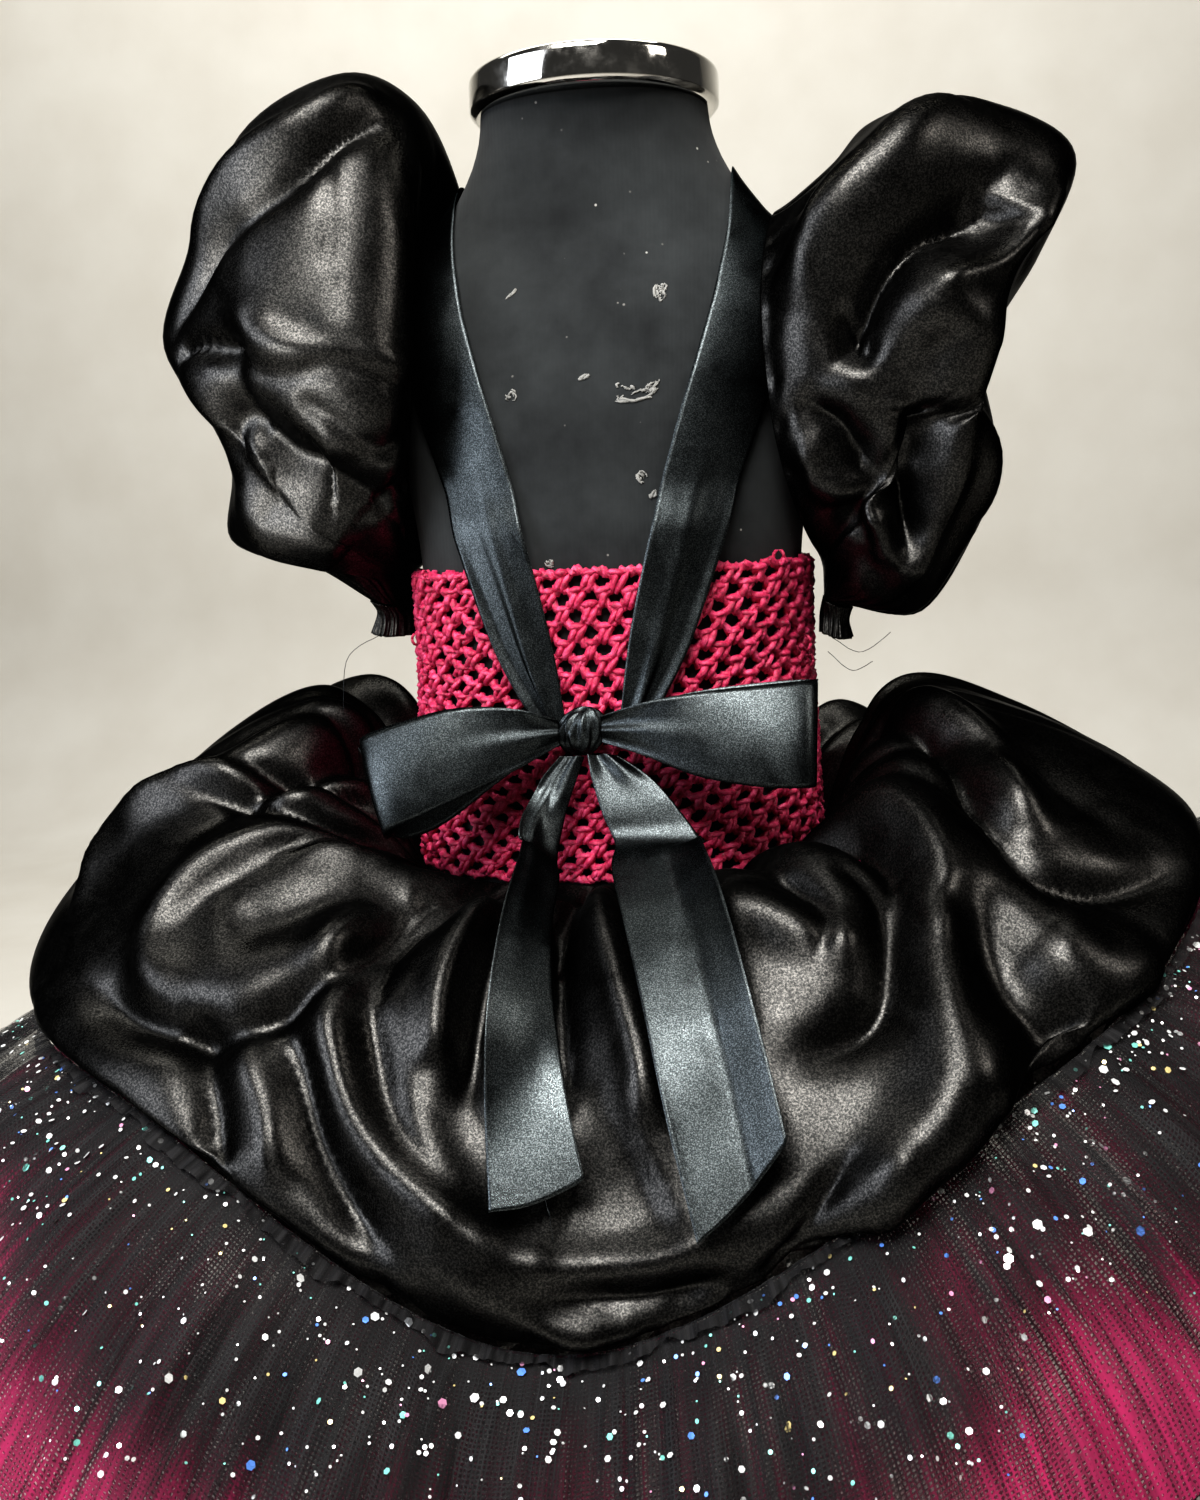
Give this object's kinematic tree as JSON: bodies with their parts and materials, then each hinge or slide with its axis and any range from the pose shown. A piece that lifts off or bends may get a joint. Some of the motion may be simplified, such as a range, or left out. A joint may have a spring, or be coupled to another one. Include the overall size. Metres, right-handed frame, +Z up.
{
  "type": "witch tutu dress on a dress form",
  "caption": "Child's witch tutu dress with crochet bodice, satin overskirt over layered tulle, puff sleeves, ribbon shoulder straps and a back bow, on a limbless dress form.",
  "frame": {"origin": "centre of the underside of the stand's round base, on the counter", "axes": "+Z up; -Y is the dress's open back with its bow; +X is the right hand side seen from the back; +Y is the dress's front"},
  "size_m": [0.7191, 0.621, 0.8314],
  "materials": {
    "jersey": "matte black stretch jersey",
    "chrome": "polished chrome",
    "crochet": "hot pink crocheted elastic with open holes",
    "satin": "black satin with a broad silvery sheen",
    "ribbon": "black double-faced satin ribbon with a cool grey sheen",
    "glitter_net": "black tulle strewn with small holographic glitter discs",
    "pink_net": "hot pink soft tulle",
    "black_net": "plain black soft tulle"
  },
  "bodies": {
    "root": {"form_torso": "jersey", "neck_cap": "chrome", "stand_pole": "chrome", "stand_base": "chrome", "bodice": "crochet", "overskirt": "satin", "tulle_glitter": "glitter_net", "tulle_pink": "pink_net", "tulle_black": "black_net", "sleeve_left": "satin", "sleeve_right": "satin", "cuff_left": "satin", "cuff_right": "satin", "strap_left": "ribbon", "strap_right": "ribbon", "bow_loop_left": "ribbon", "bow_loop_right": "ribbon", "bow_knot": "ribbon", "bow_tail_left": "ribbon", "bow_tail_right": "ribbon"}
  },
  "joints": []
}
